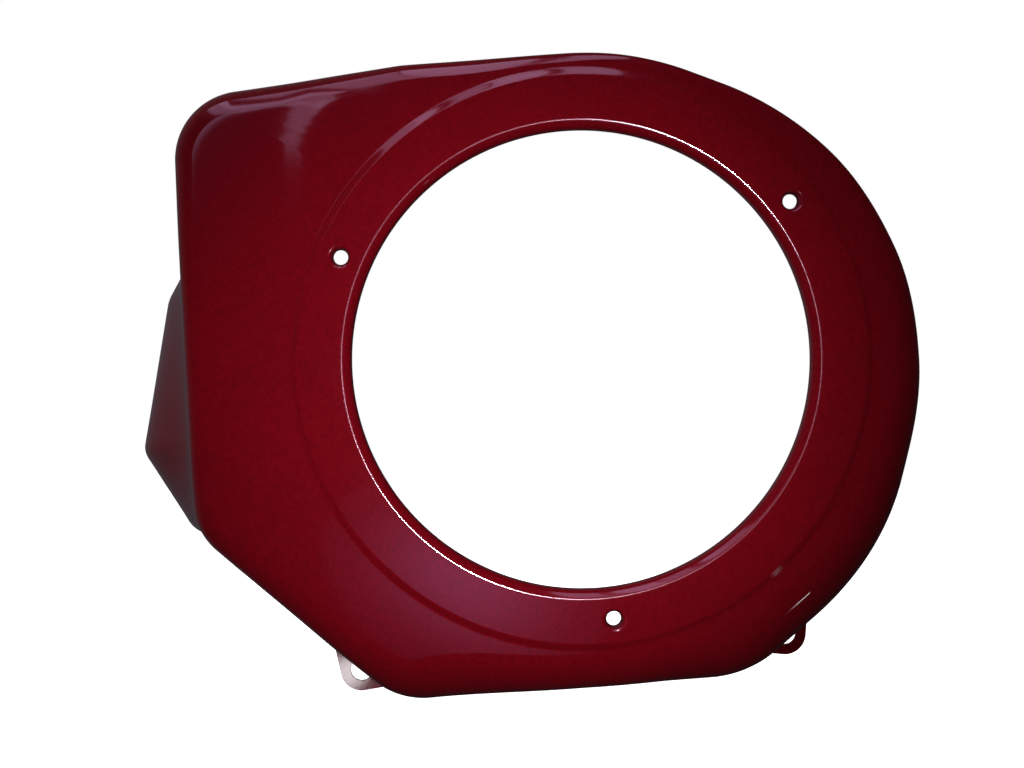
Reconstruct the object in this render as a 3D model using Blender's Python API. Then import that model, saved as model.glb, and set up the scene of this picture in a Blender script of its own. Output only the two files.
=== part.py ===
"""Fan cover of a small air-cooled engine: one painted pressing of sheet steel.

The crankshaft's axis is the Y axis. The seat for the starter looks along -Y, and the rear edge
lies in the plane y = 0, against the engine. +X is on the right of someone who faces the starter,
and +Z is up. All lengths are in metres.
"""
import math

import bmesh
import bpy
from mathutils import Vector

MM = 0.001

# Sheet and depth
SHEET = 1.2 * MM                     # thickness of the steel
DEPTH = 65.0 * MM                    # from the front of the seat to the rear edge
DRAFT = math.radians(1.0)            # the walls open towards the rear by this angle

# Opening for the starter, with a lip that is turned inwards
OPENING_RADIUS = 78.7 * MM
LIP_BEND = 3.5 * MM                  # outer radius of the lip's bend
LIP_STRAIGHT = 2.5 * MM              # straight edge behind the bend

# Raised round seat for the starter
SEAT_WIDTH = 13.6 * MM               # flat ring between the lip's bend and the step
SEAT_STEP = 5.0 * MM                 # width of the sloping step round the seat
SEAT_HEIGHT = 2.0 * MM               # the seat stands this far in front of the face
SEAT_MIDDLE = Vector((1.7 * MM, 0.0))    # centre of the step, a little to the right of the axis

# Threaded holes for the starter, drawn inwards from the seat as collars
SCREW_COUNT = 3
SCREW_FIRST = math.radians(37.1)     # direction of the first one
SCREW_FROM_OPENING = 10.5 * MM       # from the opening's edge to the holes' centres
SCREW_BORE = 2.55 * MM               # radius before the thread is cut, for a 6 mm screw
SCREW_ROUNDING = 1.5 * MM            # the sheet runs into the hole with this radius
COLLAR_WALL = 0.9 * MM
COLLAR_DEPTH = 4.6 * MM              # from the front of the seat to the collar's end

# The cover's outline is a band stretched round discs, each given by its centre and radius.
# The first three make the scroll, which widens clockwise from the crown, and grow with the seat.
SEAT_OUTER = OPENING_RADIUS + LIP_BEND + SEAT_WIDTH + SEAT_STEP
CROWN = (0.2 * MM, -2.3 * MM, SEAT_OUTER + 6.8 * MM)
SCROLL = (11.4 * MM, -4.8 * MM, SEAT_OUTER + 6.7 * MM)
TAIL = (23.5 * MM, -21.4 * MM, SEAT_OUTER - 9.7 * MM)
LOWER_RIGHT = (43.3 * MM, -71.3 * MM, 39.7 * MM)
LOWER_LEFT = (-54.5 * MM, -91.1 * MM, 26.3 * MM)
SIDE = (-112.4 * MM, -49.3 * MM, 21.0 * MM)
UPPER_LEFT = (-116.9 * MM, 69.1 * MM, 24.3 * MM)
TOP_BEND = (-58.3 * MM, 62.6 * MM, 38.9 * MM)
OUTLINE = (CROWN, SCROLL, TAIL, LOWER_RIGHT, LOWER_LEFT, SIDE, UPPER_LEFT, TOP_BEND)

# Rounded shoulder between face and wall: direction in degrees and radius there
SHOULDER = (
    (0, 13.0 * MM),
    (50, 8.5 * MM),
    (90, 4.4 * MM),
    (115, 6.0 * MM),
    (142, 9.5 * MM),
    (172, 5.0 * MM),
    (225, 6.5 * MM),
    (262, 8.0 * MM),
    (310, 15.0 * MM),
)

FACE_LEAST = 0.6 * MM                # flat that is always left between the seat and the shoulder

# The face falls away a little towards its upper left corner
FOLD_X = -98.0 * MM                  # the fold stands upright here
FOLD_ROUNDING = 12.0 * MM            # half of the width over which the sheet bends
FOLD_SLOPE = math.tan(math.radians(5.0))
FOLD_FROM = -10.0 * MM               # height at which the fold begins
FOLD_FULL = 85.0 * MM                # height at which it has its full slope

# Flare at the rear of the left wall, where the air leaves for the cylinder
FLARE_TOP = (-127.0 * MM, 52.0 * MM, 10.0 * MM)
FLARE_UPPER = (-145.6 * MM, 20.0 * MM, 11.0 * MM)
FLARE_TIP = (-157.8 * MM, -33.0 * MM, 8.0 * MM)
FLARE_LOWER = (-140.0 * MM, -55.8 * MM, 10.0 * MM)
FLARE_END = (-96.0 * MM, -80.0 * MM, 9.0 * MM)
FLARE_HUB = (0.0, 0.0, 40.0 * MM)    # closes the flare's outline round the axis
FLARE = (FLARE_TOP, FLARE_UPPER, FLARE_TIP, FLARE_LOWER, FLARE_END, FLARE_HUB)
FLARE_BLEND = 10.0 * MM              # width over which the flare runs into the wall

# Ears that bolt to the engine: direction from the axis in degrees, distance from the wall to the
# hole's centre, radius of the round end, and half of the angle in degrees that the ear spans
EAR_LOWER_LEFT = (236.0, 13.0 * MM, 8.2 * MM, 10.8)
EAR_LOWER_RIGHT = (308.0, 11.3 * MM, 8.2 * MM, 9.0)
EAR_UPPER_RIGHT = (30.0, 8.8 * MM, 7.2 * MM, 7.5)
EAR_UPPER_LEFT = (147.5, 9.0 * MM, 7.4 * MM, 7.0)
EARS = (EAR_LOWER_LEFT, EAR_LOWER_RIGHT, EAR_UPPER_RIGHT, EAR_UPPER_LEFT)
EAR_HOLE = 4.25 * MM
EAR_FILLET = 2.5 * MM                # bend between wall and ear
EAR_FOOT = 0.6 * MM                  # flat left beside the bend where an ear begins

# Fineness of the mesh
POINTS_ROUND = 96                    # round the cover
TURN_SHARE = 0.2                     # share of those points that goes by the outline's corners
FLARE_SHARE = 0.2                    # share that goes by the corners of the flared rear edge
LIP_STEPS = 4
STEP_STEPS = 5
FACE_STEPS = 3
SHOULDER_STEPS = 5
WALL_STEPS = 6
HOLE_POINTS = 24
EAR_STATIONS = 12                    # sections of an ear, from foot to foot
FILLET_STEPS = 4
OUTLINE_NORMALS = 720                # directions in the fine outline that gives those points
OUTLINE_PITCH = 1.0 * MM             # longest step along that outline's straights
SHARP_ANGLE = math.radians(40.0)     # edges that turn by more than this stay sharp

TRIM_ALLOWANCE = 3.0 * MM            # the pressing is made this much too deep, then trimmed flat
OVERLAP = 1.0 * MM                   # a cutter reaches this far past what it cuts
SINK = 0.15 * MM                     # a joined piece starts this far under the surface

PAINT_RED = (0.18, 0.0, 0.006, 1.0)
PAINT_ROUGHNESS = 0.16
PAINT_COAT = 1.0


def unit(angle):
    """Direction in the X-Z plane, anticlockwise from +X as the starter's side is seen."""
    return Vector((math.cos(angle), math.sin(angle)))


def ease(t):
    """Smooth rise from 0 to 1 as t goes from 0 to 1."""
    t = min(max(t, 0.0), 1.0)
    return t * t * (3.0 - 2.0 * t)


def polar(point):
    """Direction of a point as seen from the axis, from 0 to a full turn."""
    return math.atan2(point.y, point.x) % (2.0 * math.pi)


def band(discs):
    """Fine outline of a band stretched round discs, as (point, direction of the normal) pairs."""
    path = []
    for k in range(OUTLINE_NORMALS + 1):
        normal = 2.0 * math.pi * k / OUTLINE_NORMALS
        u = unit(normal)
        x, z, radius = max(discs, key=lambda disc: disc[0] * u.x + disc[1] * u.y + disc[2])
        point = Vector((x, z)) + u * radius
        if path:
            last = path[-1][0]
            steps = max(1, math.ceil((point - last).length / OUTLINE_PITCH))
            for step in range(1, steps):
                path.append((last.lerp(point, step / steps), normal))
        path.append((point, normal))
    return path[:-1]


def reach_of(path, angle):
    """Distance from the axis to an outline in one direction."""
    u = unit(angle)
    for (a, _), (b, _) in zip(path, path[1:] + path[:1]):
        side_a = u.x * a.y - u.y * a.x
        side_b = u.x * b.y - u.y * b.x
        if side_a <= 0.0 < side_b and a.dot(u) > 0.0:
            return a.lerp(b, side_a / (side_a - side_b)).length
    raise ValueError("the outline doesn't go round the axis")


def smooth_max(a, b, blend):
    """The larger of two lengths, with a rounded change from one to the other."""
    near = max(blend - abs(a - b), 0.0)
    return max(a, b) + near * near / (4.0 * blend)


def flared(points):
    """How far the flare stands out beyond each point of the outline at the rear edge."""
    flare = band(FLARE)
    reaches = []
    for point in points:
        radius = point.length
        reaches.append(smooth_max(radius, reach_of(flare, polar(point)), FLARE_BLEND) - radius)
    return reaches


def share_of_turning(points):
    """How much of its turning a closed outline has done at each point, from 0 to 1."""
    headings = [
        math.atan2(b.y - a.y, b.x - a.x) for a, b in zip(points, points[1:] + points[:1])
    ]
    turned = [0.0]
    for here, there in zip(headings, headings[1:] + headings[:1]):
        turn = (there - here + math.pi) % (2.0 * math.pi) - math.pi
        turned.append(turned[-1] + abs(turn))
    return [value / turned[-1] for value in turned]


def spread_round():
    """Points round the outline, closer where it or the flared edge turns: (point, normal, flare)."""
    path = band(OUTLINE)
    start = min(range(len(path)), key=lambda k: polar(path[k][0]))
    path = path[start:] + path[:start]
    points = [point for point, _ in path]
    flares = flared(points)
    rear = [point + point.normalized() * flare for point, flare in zip(points, flares)]
    sweeps = [(polar(point) - polar(points[0])) / (2.0 * math.pi) for point in points] + [1.0]
    turn_shares = share_of_turning(points)
    flare_shares = share_of_turning(rear)
    measure = [
        (1.0 - TURN_SHARE - FLARE_SHARE) * sweep + TURN_SHARE * turn + FLARE_SHARE * flare
        for sweep, turn, flare in zip(sweeps, turn_shares, flare_shares)
    ]
    samples, k = [], 0
    for i in range(POINTS_ROUND):
        while measure[k + 1] <= i / POINTS_ROUND:
            k += 1
        share = (i / POINTS_ROUND - measure[k]) / (measure[k + 1] - measure[k])
        here, there = path[k], path[(k + 1) % len(path)]
        turn = (there[1] - here[1] + math.pi) % (2.0 * math.pi) - math.pi
        normal = here[1] + turn * share
        flare = flares[k] + (flares[(k + 1) % len(path)] - flares[k]) * share
        samples.append((here[0].lerp(there[0], share), normal, flare))
    return samples


def shoulder_radius(point):
    """Radius of the shoulder at an outline point: eased between the values in SHOULDER, and no
    more than the seat leaves room for."""
    degrees = math.degrees(polar(point))
    keys = SHOULDER + ((SHOULDER[0][0] + 360, SHOULDER[0][1]),)
    a, b = next((a, b) for a, b in zip(keys, keys[1:]) if degrees <= b[0])
    wanted = a[1] + (b[1] - a[1]) * ease((degrees - a[0]) / (b[0] - a[0]))
    room = (point - SEAT_MIDDLE).length - SEAT_OUTER - FACE_LEAST
    return min(wanted, room)


def fold_drop(point):
    """How far the face falls back at a point, left of the fold."""
    past = FOLD_X - point.x
    width = FOLD_ROUNDING
    if past <= -width:
        return 0.0
    run = past if past >= width else (past + width) ** 2 / (4.0 * width)
    return FOLD_SLOPE * run * ease((point.y - FOLD_FROM) / (FOLD_FULL - FOLD_FROM))


def cover_rings():
    """The pressing's outer surface, ring by ring from the lip's edge to past the rear edge."""
    samples = spread_round()
    front = -DEPTH
    rings = []

    def ring(place):
        rings.append([Vector((p.x, y, p.y)) for p, y in map(place, range(POINTS_ROUND))])

    def circle(radius, y):
        ring(lambda i: (unit(polar(samples[i][0])) * radius, y))

    # Lip: straight edge, then the bend
    circle(OPENING_RADIUS, front + LIP_BEND + LIP_STRAIGHT)
    for k in range(LIP_STEPS + 1):
        turn = math.pi / 2.0 * k / LIP_STEPS
        circle(
            OPENING_RADIUS + LIP_BEND * (1.0 - math.cos(turn)),
            front + LIP_BEND * (1.0 - math.sin(turn)),
        )

    # Step round the seat, an S in section
    def step_place(i, share):
        radius = SEAT_OUTER - SEAT_STEP * (1.0 - share)
        point = SEAT_MIDDLE + unit(polar(samples[i][0])) * radius
        fall = SEAT_HEIGHT * (1.0 - math.cos(math.pi * share)) / 2.0
        return point, front + fall + fold_drop(point)

    for k in range(STEP_STEPS + 1):
        ring(lambda i: step_place(i, k / STEP_STEPS))

    # Face and shoulder: a quarter round that starts inside the outline
    def shoulder_place(i, turn):
        point, normal, _ = samples[i]
        radius = shoulder_radius(point)
        inner = point - unit(normal) * radius
        place = inner + unit(normal) * radius * math.sin(turn)
        fall = radius * (1.0 - math.cos(turn))
        return place, front + SEAT_HEIGHT + fold_drop(inner) + fall

    def face_place(i, share):
        inner, _ = shoulder_place(i, 0.0)
        edge = SEAT_MIDDLE + unit(polar(samples[i][0])) * SEAT_OUTER
        point = edge.lerp(inner, share)
        return point, front + SEAT_HEIGHT + fold_drop(point)

    for k in range(1, FACE_STEPS):
        ring(lambda i: face_place(i, k / FACE_STEPS))
    for k in range(SHOULDER_STEPS + 1):
        ring(lambda i: shoulder_place(i, math.pi / 2.0 * k / SHOULDER_STEPS))

    # Wall: opens by the draft, and by the flare on the left
    def wall_place(i, share):
        point, normal, flare = samples[i]
        _, top = shoulder_place(i, math.pi / 2.0)
        y = top * (1.0 - share)
        out = (y - top) * math.tan(DRAFT)
        return point + unit(normal) * out + point.normalized() * flare * ease(share), y

    for k in range(1, WALL_STEPS + 1):
        ring(lambda i: wall_place(i, k / WALL_STEPS))

    # Allowance behind the rear edge, for the trimming cut
    def allowance_place(i):
        point, _ = wall_place(i, 1.0)
        return point, TRIM_ALLOWANCE

    ring(allowance_place)
    return rings


def mesh_object(name, points, faces):
    mesh = bpy.data.meshes.new(name)
    mesh.from_pydata(points, [], faces)
    mesh.update()
    thing = bpy.data.objects.new(name, mesh)
    bpy.context.scene.collection.objects.link(thing)
    return thing


def loft(name, rings, caps=False):
    """Mesh of quads between closed rings of equal length, with or without flat ends."""
    count = len(rings[0])
    points = [point for one in rings for point in one]
    faces = []
    for k in range(len(rings) - 1):
        for i in range(count):
            j = (i + 1) % count
            faces.append((k * count + i, (k + 1) * count + i, (k + 1) * count + j, k * count + j))
    if caps:
        faces.append(tuple(range(count)))
        faces.append(tuple(reversed(range(len(points) - count, len(points)))))
    return mesh_object(name, points, faces)


def face_outwards(thing):
    """Turns a closed mesh's faces so that they all point out."""
    bm = bmesh.new()
    bm.from_mesh(thing.data)
    bmesh.ops.recalc_face_normals(bm, faces=bm.faces)
    bm.to_mesh(thing.data)
    bm.free()


def turned(name, centre, profile):
    """Solid turned about a line along Y through a centre, from (radius, y) pairs."""
    middle = Vector(centre)
    rings = []
    for radius, y in profile:
        ring = []
        for i in range(HOLE_POINTS):
            p = middle + unit(2.0 * math.pi * i / HOLE_POINTS) * radius
            ring.append(Vector((p.x, y, p.y)))
        rings.append(ring)
    thing = loft(name, rings, caps=True)
    face_outwards(thing)
    return thing


def helper(thing):
    """Marks a solid that only joins or cuts another."""
    thing.hide_render = True
    thing.display_type = "WIRE"
    return thing


def combine(target, tool, operation):
    modifier = target.modifiers.new(tool.name, "BOOLEAN")
    modifier.operation = operation
    modifier.solver = "EXACT"
    modifier.object = tool


def screw_places():
    reach = OPENING_RADIUS + SCREW_FROM_OPENING
    return [unit(SCREW_FIRST + 2.0 * math.pi * k / SCREW_COUNT) * reach for k in range(SCREW_COUNT)]


def collar(name, centre):
    """Tube of sheet that the punch drew inwards, before its hole."""
    radius = SCREW_BORE + COLLAR_WALL
    return turned(name, centre, [(radius, -DEPTH + SHEET / 2.0), (radius, -DEPTH + COLLAR_DEPTH)])


def screw_cutter(name, centre):
    """Hole with a rounded mouth. Its first facet runs on to just in front of the seat."""
    front = -DEPTH
    mouth = SCREW_BORE + SCREW_ROUNDING
    profile = []
    for k in range(1, FILLET_STEPS + 1):
        turn = math.pi / 2.0 * k / FILLET_STEPS
        radius = mouth - SCREW_ROUNDING * math.sin(turn)
        profile.append((radius, front + SCREW_ROUNDING * (1.0 - math.cos(turn))))
    radius, y = profile[0]
    flare = (mouth - radius) / (y - front)
    profile.insert(0, (mouth + SINK * flare, front - SINK))
    profile.append((SCREW_BORE, front + COLLAR_DEPTH + OVERLAP))
    return turned(name, centre, profile)


def rear_wall(rings, angle):
    """Point and outward normal of the wall's outer side at the rear edge, in one direction."""
    edge = [Vector((p.x, p.z)) for p in rings[-2]]
    angles = [polar(p) for p in edge]
    for i, here in enumerate(angles):
        j = (i + 1) % len(edge)
        width = (angles[j] - here) % (2.0 * math.pi)
        ahead = (angle - here) % (2.0 * math.pi)
        if ahead <= width:
            along = (edge[j] - edge[i]).normalized()
            return edge[i].lerp(edge[j], ahead / width), Vector((along.y, -along.x))
    raise ValueError("no wall in that direction")


def ear_centre(rings, place):
    """Centre of an ear's hole, out from the wall along its normal."""
    direction, stand_off, _, _ = place
    wall, normal = rear_wall(rings, math.radians(direction))
    return wall + normal * stand_off


def ear_edge(hole, radius, foot_a, foot_b):
    """Outline of an ear from one foot round its end to the other foot, one point to a station."""
    def touch(foot, side):
        away = foot - hole
        lean = math.acos(min(radius / away.length, 1.0))
        return math.atan2(away.y, away.x) + side * lean

    first, last = touch(foot_a, 1.0), touch(foot_b, -1.0)
    last = first + (last - first) % (2.0 * math.pi)
    steps = EAR_STATIONS - 5
    arc = [
        hole + unit(first + (last - first) * k / steps) * radius for k in range(steps + 1)
    ]
    return [foot_a, foot_a.lerp(arc[0], 0.5)] + arc + [arc[-1].lerp(foot_b, 0.5), foot_b]


def ear(name, rings, place):
    """Flat ear at the rear edge, with the bend that joins it to the wall. Its rear is trimmed."""
    direction, _, radius, half_span = place
    hole = ear_centre(rings, place)
    rear = TRIM_ALLOWANCE / 2.0
    walls = []
    for k in range(EAR_STATIONS):
        turn = half_span * (2.0 * k / (EAR_STATIONS - 1) - 1.0)
        walls.append(rear_wall(rings, math.radians(direction + turn)))
    reach = EAR_FILLET + EAR_FOOT
    feet = [point + normal * reach for point, normal in (walls[0], walls[-1])]
    edge = ear_edge(hole, radius, *feet)
    roots = [wall - normal * SHEET / 2.0 for wall, normal in walls]
    lines = [[(root, rear) for root in roots], [(root, -SHEET - EAR_FILLET) for root in roots]]
    for k in range(FILLET_STEPS + 1):
        turn = math.pi / 2.0 * k / FILLET_STEPS
        out = EAR_FILLET * (1.0 - math.cos(turn)) - (SINK if k == 0 else 0.0)
        y = -SHEET - EAR_FILLET * (1.0 - math.sin(turn))
        lines.append([(wall + normal * out, y) for wall, normal in walls])
    lines += [[(rim, -SHEET) for rim in edge], [(rim, rear) for rim in edge]]
    points = [Vector((p.x, y, p.y)) for line in lines for p, y in line]
    count, last = EAR_STATIONS, len(lines) - 1
    faces = []
    for line in (*range(last - 2), last - 1):
        for k in range(line * count, line * count + count - 1):
            faces.append((k, k + 1, k + count + 1, k + count))
    for front, back in ((last - 2, last - 1), (0, last)):
        flat = list(range(front * count, front * count + count))
        faces.append(flat + list(reversed(range(back * count, back * count + count))))
    for station in (0, count - 1):
        faces.append([line * count + station for line in range(last + 1)])
    thing = mesh_object(name, points, faces)
    face_outwards(thing)
    return thing


def trimming_block(rings):
    """Block behind the rear edge, which cuts the pressing and its ears flat."""
    reach = max(p.length for p in rings[-1]) + OVERLAP
    square = ((-reach, -reach), (reach, -reach), (reach, reach), (-reach, reach))
    depth = TRIM_ALLOWANCE + OVERLAP
    corners = [Vector((x, y, z)) for y in (0.0, depth) for x, z in square]
    faces = [(0, 1, 2, 3), (7, 6, 5, 4), (0, 4, 5, 1), (1, 5, 6, 2), (2, 6, 7, 3), (3, 7, 4, 0)]
    thing = mesh_object("trimming_block", corners, faces)
    face_outwards(thing)
    return thing


def red_paint():
    material = bpy.data.materials.new("red_paint")
    material.use_nodes = True
    shader = material.node_tree.nodes["Principled BSDF"]
    shader.inputs["Base Color"].default_value = PAINT_RED
    shader.inputs["Roughness"].default_value = PAINT_ROUGHNESS
    shader.inputs["Metallic"].default_value = 0.0
    shader.inputs["Coat Weight"].default_value = PAINT_COAT
    material.diffuse_color = PAINT_RED
    return material


def fan_cover():
    rings = cover_rings()
    cover = loft("fan_cover", rings)
    thickness = cover.modifiers.new("sheet", "SOLIDIFY")
    thickness.thickness = SHEET
    thickness.offset = -1.0
    thickness.use_even_offset = True
    thickness.use_rim = True
    for number, place in enumerate(EARS, 1):
        lug = helper(ear(f"ear_{number}", rings, place))
        ends = [(EAR_HOLE, -SHEET - OVERLAP), (EAR_HOLE, TRIM_ALLOWANCE)]
        bore = helper(turned(f"ear_hole_{number}", ear_centre(rings, place), ends))
        combine(lug, bore, "DIFFERENCE")
        combine(cover, lug, "UNION")
    combine(cover, helper(trimming_block(rings)), "DIFFERENCE")
    for number, centre in enumerate(screw_places(), 1):
        combine(cover, helper(collar(f"collar_{number}", centre)), "UNION")
    for number, centre in enumerate(screw_places(), 1):
        combine(cover, helper(screw_cutter(f"screw_hole_{number}", centre)), "DIFFERENCE")
    cover.data.materials.append(red_paint())
    cover.data.shade_smooth()
    cover.data.set_sharp_from_angle(angle=SHARP_ANGLE)


for thing in list(bpy.data.objects):
    bpy.data.objects.remove(thing, do_unlink=True)
fan_cover()
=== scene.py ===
# %% [markdown]
# # A pressed and painted fan cover
#
# This notebook dresses one part: the fan cover of a small air-cooled engine. The real one is a
# single sheet of steel, drawn in a press, pierced, and sprayed with glossy red enamel. The packed
# CAD model gives its true size and place. Here it gets a finer skin, its threads and its paint,
# and a plain studio that shows them.
#
# The frame comes first. Every length below is in metres, in the same axes as the CAD model: the
# crankshaft lies along Y, the starter's seat looks along -Y, and Z is up.

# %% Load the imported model
import math

import bmesh
import bpy
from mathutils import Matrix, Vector


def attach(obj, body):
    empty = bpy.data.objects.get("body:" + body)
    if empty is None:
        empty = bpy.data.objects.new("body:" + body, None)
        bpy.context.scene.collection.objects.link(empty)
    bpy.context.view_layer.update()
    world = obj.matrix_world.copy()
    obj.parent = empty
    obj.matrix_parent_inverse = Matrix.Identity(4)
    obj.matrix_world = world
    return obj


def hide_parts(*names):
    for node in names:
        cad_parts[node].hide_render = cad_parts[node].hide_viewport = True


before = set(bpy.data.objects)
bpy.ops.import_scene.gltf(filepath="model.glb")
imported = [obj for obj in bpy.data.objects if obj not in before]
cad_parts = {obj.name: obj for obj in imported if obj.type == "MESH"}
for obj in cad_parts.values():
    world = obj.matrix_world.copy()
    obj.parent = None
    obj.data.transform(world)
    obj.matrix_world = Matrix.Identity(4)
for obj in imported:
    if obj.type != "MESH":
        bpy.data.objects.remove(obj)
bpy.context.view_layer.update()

print("CAD nodes:", sorted(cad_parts))

# %% [markdown]
# ## Sizes
#
# A pressing is described by few sizes: the sheet, the depth of the draw, the opening with its
# turned lip, the seat for the starter, and the radii of the bends. The sheet, the depth, the
# opening and every hole are where the CAD model has them. The outline, the step round the seat,
# the shoulder's radii and the fold are a finer reading of the same forms.

# %% Sizes of the pressing
MM = 0.001
SHEET = 1.2 * MM                    # thickness of the steel
DEPTH = 65.0 * MM                   # from the front of the seat to the rear edge
DRAFT = math.radians(1.0)           # the walls open towards the rear
OPENING_RADIUS = 78.7 * MM
LIP_BEND = 3.5 * MM
LIP_STRAIGHT = 2.5 * MM
SEAT_WIDTH = 14.4 * MM
SEAT_STEP = 3.0 * MM
SEAT_HEIGHT = 1.0 * MM
SEAT_OUTER = OPENING_RADIUS + LIP_BEND + SEAT_WIDTH + SEAT_STEP
FACE_LEAST = 0.6 * MM               # flat that is always left between seat and shoulder

# Discs that the outline is stretched round: x, z and radius
OUTLINE = (
    (0.2 * MM, -2.3 * MM, SEAT_OUTER + 7.8 * MM),
    (11.1 * MM, -6.0 * MM, SEAT_OUTER + 7.5 * MM),
    (23.5 * MM, -21.4 * MM, SEAT_OUTER - 8.1 * MM),
    (43.4 * MM, -71.3 * MM, 40.7 * MM),
    (-54.1 * MM, -92.7 * MM, 26.5 * MM),
    (-112.4 * MM, -50.2 * MM, 21.3 * MM),
    (-116.6 * MM, 69.5 * MM, 23.8 * MM),
    (-58.3 * MM, 62.6 * MM, 38.9 * MM),
)

# Discs of the flare at the rear edge of the left wall
FLARE = (
    (-127.0 * MM, 52.0 * MM, 10.0 * MM),
    (-145.6 * MM, 20.0 * MM, 11.0 * MM),
    (-157.8 * MM, -33.0 * MM, 8.0 * MM),
    (-140.0 * MM, -55.8 * MM, 10.0 * MM),
    (-96.0 * MM, -80.0 * MM, 9.0 * MM),
    (0.0, 0.0, 40.0 * MM),
)
FLARE_BLEND = 10.0 * MM

# Radius of the shoulder between face and wall, by direction in degrees
SHOULDER = (
    (0, 11.5 * MM),
    (20, 7.0 * MM),
    (40, 3.2 * MM),
    (80, 2.6 * MM),
    (95, 4.0 * MM),
    (115, 6.0 * MM),
    (142, 9.5 * MM),
    (165, 6.5 * MM),
    (195, 6.2 * MM),
    (208, 10.0 * MM),
    (228, 11.0 * MM),
    (250, 18.0 * MM),
    (268, 15.0 * MM),
    (290, 17.0 * MM),
    (315, 19.0 * MM),
    (345, 14.0 * MM),
)

# Shallow fold, S-shaped in section: the face's upper left corner lies a little further back
FOLD_CORNER = Vector((-76.0 * MM, 72.0 * MM))
FOLD_RADIUS = 22.0 * MM
FOLD_WIDTH = 11.0 * MM
FOLD_DROP = 0.58 * MM
FOLD_SPAN = (120.0, 134.0, 150.0, 175.0)    # directions: it begins, is full from, full to, ends
print("seat's step ends", round(SEAT_OUTER / MM, 1), "mm from the axis")

# %% [markdown]
# ## The outline
#
# The cover's edge is made of arcs and straights that touch without a corner, as a band does when
# it is stretched round discs. Asking every direction which disc reaches furthest gives that band,
# with the direction in which each point looks. This is simpler than fitting curves, and the sizes
# stay readable.

# %% A band stretched round discs
FULL_TURN = 2.0 * math.pi
QUARTER = math.pi / 2.0
OUTLINE_NORMALS = 1440
OUTLINE_PITCH = 0.5 * MM


def unit(angle):
    """Direction in the X-Z plane, anticlockwise from +X as the starter's side is seen."""
    return Vector((math.cos(angle), math.sin(angle)))


def ease(t):
    """Smooth rise from 0 to 1 as t goes from 0 to 1."""
    t = min(max(t, 0.0), 1.0)
    return t * t * (3.0 - 2.0 * t)


def polar(point):
    """Direction of a point from the axis, from 0 to a full turn."""
    return math.atan2(point.y, point.x) % FULL_TURN


def least_turn(angle):
    """The same turn, taken the short way round."""
    return (angle + math.pi) % FULL_TURN - math.pi


def band(discs):
    """Fine outline of a band stretched round discs, as (point, direction of the normal) pairs."""
    path = []
    for k in range(OUTLINE_NORMALS + 1):
        normal = FULL_TURN * k / OUTLINE_NORMALS
        u = unit(normal)
        x, z, radius = max(discs, key=lambda disc: disc[0] * u.x + disc[1] * u.y + disc[2])
        point = Vector((x, z)) + u * radius
        if path:
            last = path[-1][0]
            steps = max(1, math.ceil((point - last).length / OUTLINE_PITCH))
            for step in range(1, steps):
                path.append((last.lerp(point, step / steps), normal))
        path.append((point, normal))
    return path[:-1]


path = band(OUTLINE)
print("outline:", len(path), "fine points")

# %% [markdown]
# ## Points round the cover
#
# The mesh needs far fewer points than the fine outline has. Spread evenly they would cut the
# corners off, so each point of the fine outline gets a measure that runs faster where the outline
# turns and where the flared rear edge turns, and the points are spread evenly by that measure.
# The flare is the same idea again: a second band, blended with the first on the left side only.

# %% Points round the outline, and how far the flare stands out at each
POINTS_ROUND = 360
TURN_SHARE = 0.2                    # share of the points that goes by the outline's corners
FLARE_SHARE = 0.2                   # share that goes by the corners of the flared rear edge
FLARE_BEGINS = -80.0 * MM           # the wall is flared left of this


def reach_of(path, angle):
    """Distance from the axis to an outline in one direction."""
    u = unit(angle)
    for (a, _), (b, _) in zip(path, path[1:] + path[:1]):
        side_a = u.x * a.y - u.y * a.x
        side_b = u.x * b.y - u.y * b.x
        if side_a <= 0.0 < side_b and a.dot(u) > 0.0:
            return a.lerp(b, side_a / (side_a - side_b)).length
    raise ValueError("the outline doesn't go round the axis")


def smooth_max(a, b, blend):
    """The larger of two values, rounded where they are about the same."""
    near = max(blend - abs(a - b), 0.0)
    return max(a, b) + near * near / (4.0 * blend)


def share_of_turning(points):
    """How much of its turning a closed outline has done at each point, from 0 to 1."""
    headings = [
        math.atan2(b.y - a.y, b.x - a.x) for a, b in zip(points, points[1:] + points[:1])
    ]
    turned = [0.0]
    for here, there in zip(headings, headings[1:] + headings[:1]):
        turned.append(turned[-1] + abs(least_turn(there - here)))
    return [value / turned[-1] for value in turned]


def flare_at(point, flare_path):
    """How far the rear edge stands out beyond a point of the outline."""
    if point.x > FLARE_BEGINS:
        return 0.0
    return smooth_max(point.length, reach_of(flare_path, polar(point)), FLARE_BLEND) - point.length


def spread_round(path):
    """Points round the outline, closer where it or the flared edge turns: (point, normal, flare)."""
    start = min(range(len(path)), key=lambda k: polar(path[k][0]))
    path = path[start:] + path[:start]
    points = [point for point, _ in path]
    flare_path = band(FLARE)
    flares = [flare_at(point, flare_path) for point in points]
    rear = [point + point.normalized() * flare for point, flare in zip(points, flares)]
    sweeps = [(polar(point) - polar(points[0])) / FULL_TURN for point in points] + [1.0]
    measure = [
        (1.0 - TURN_SHARE - FLARE_SHARE) * sweep + TURN_SHARE * turn + FLARE_SHARE * flare
        for sweep, turn, flare in zip(sweeps, share_of_turning(points), share_of_turning(rear))
    ]
    samples, k = [], 0
    for i in range(POINTS_ROUND):
        while measure[k + 1] <= i / POINTS_ROUND:
            k += 1
        share = (i / POINTS_ROUND - measure[k]) / (measure[k + 1] - measure[k])
        here, there = path[k], path[(k + 1) % len(path)]
        turn = least_turn(there[1] - here[1])
        flare = flares[k] + (flares[(k + 1) % len(path)] - flares[k]) * share
        samples.append((here[0].lerp(there[0], share), here[1] + turn * share, flare))
    return samples


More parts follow.
